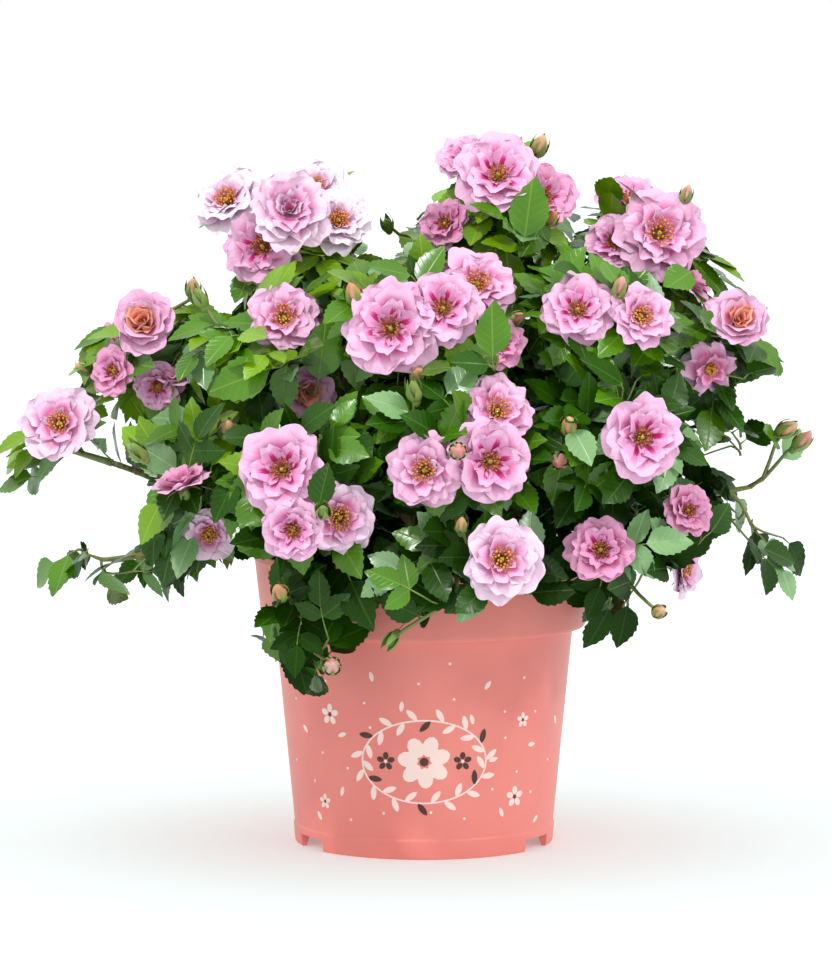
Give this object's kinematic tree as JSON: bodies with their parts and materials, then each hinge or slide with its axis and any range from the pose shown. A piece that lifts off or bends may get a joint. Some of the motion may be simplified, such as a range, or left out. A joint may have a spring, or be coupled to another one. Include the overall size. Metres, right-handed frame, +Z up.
{
  "type": "potted rose bush",
  "caption": "Compact shrub rose in full bloom, standing in the round plastic pot that it is sold in.",
  "frame": {"origin": "centre of the flat pad under the pot, which stands on the ground", "axes": "+Z up, -Y towards the side of the plant that is shown, +X to the right of someone who looks at that side"},
  "size_m": [0.5301, 0.4017, 0.4662],
  "materials": {
    "pot_plastic": "moulded polypropylene, salmon pink, soft sheen",
    "compost": "moist potting compost, dark brown, crumbly",
    "bark": "green to brown rose canes, smooth with fine streaks",
    "foliage": "glossy green leaves with pink blooms"
  },
  "bodies": {
    "root": {"pot": "pot_plastic", "soil": "compost", "stem": "bark", "limb_front_mid": "bark", "limb_low_right": "bark", "limb_right_arm": "bark", "limb_back_right": "bark", "limb_back_mid": "bark", "limb_back_left": "bark", "limb_left_low": "bark", "limb_front_left": "bark", "limb_top_left": "bark", "limb_top_mid": "bark", "limb_top_right": "bark", "limb_back_top": "bark", "limb_crown_front": "bark", "limb_left_upper": "bark", "limb_left_shoulder": "bark", "limb_right": "bark", "limb_right_upper": "bark", "limb_left_mid": "bark", "limb_skirt_left": "bark", "limb_front_low": "bark", "limb_front_right": "bark", "limb_left_reach": "bark", "limb_back_low_right": "bark", "limb_back_low_left": "bark", "limb_back_low_mid": "bark", "spray_front_mid": "foliage", "spray_low_right": "foliage", "spray_right_arm": "foliage", "spray_back_right": "foliage", "spray_back_mid": "foliage", "spray_back_left": "foliage", "spray_left_low": "foliage", "spray_front_left": "foliage", "spray_top_left": "foliage", "spray_top_mid": "foliage", "spray_top_right": "foliage", "spray_back_top": "foliage", "spray_crown_front": "foliage", "spray_left_upper": "foliage", "spray_left_shoulder": "foliage", "spray_right": "foliage", "spray_right_upper": "foliage", "spray_left_mid": "foliage", "spray_skirt_left": "foliage", "spray_front_low": "foliage", "spray_front_right": "foliage", "spray_left_reach": "foliage", "spray_back_low_right": "foliage", "spray_back_low_left": "foliage", "spray_back_low_mid": "foliage"}
  },
  "joints": []
}
